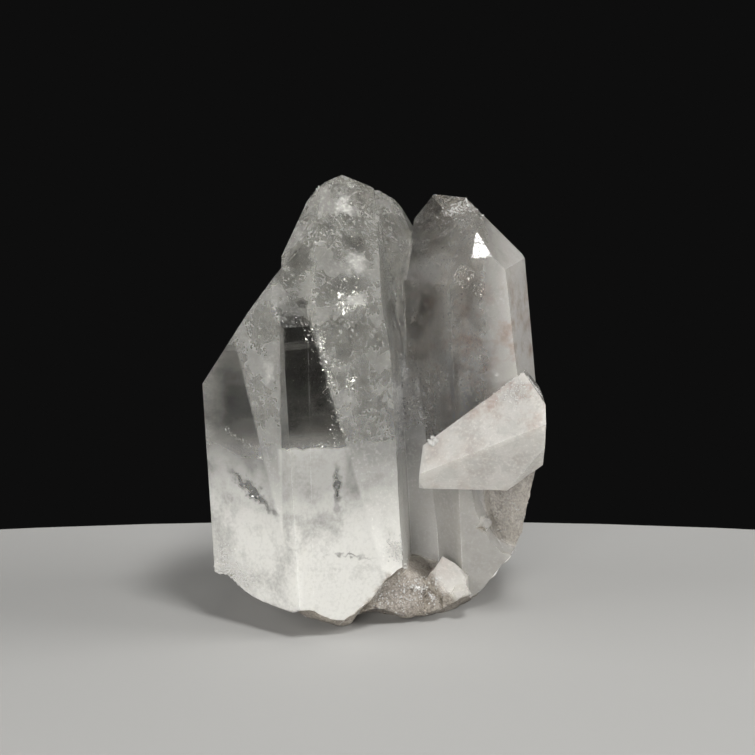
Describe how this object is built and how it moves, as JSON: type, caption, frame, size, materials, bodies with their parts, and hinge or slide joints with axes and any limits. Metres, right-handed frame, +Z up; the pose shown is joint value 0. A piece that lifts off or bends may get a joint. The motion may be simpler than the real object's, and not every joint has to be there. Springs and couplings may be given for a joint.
{
  "type": "quartz crystal cluster",
  "caption": "Upright cluster of intergrown clear and milky quartz crystals with broken root and a flat cut to stand on.",
  "frame": {"origin": "middle of the box round the cluster, in the plane of the flat that it rests on", "axes": "+Z up along the crystals, -Y is the front that the picture shows, +X is towards the slanting crystal"},
  "size_m": [0.0642, 0.0516, 0.0822],
  "materials": {
    "quartz": "clear to milky natural crystal faces, broken and sugary root"
  },
  "bodies": {
    "root": {"quartz_cluster": "quartz"}
  },
  "joints": []
}
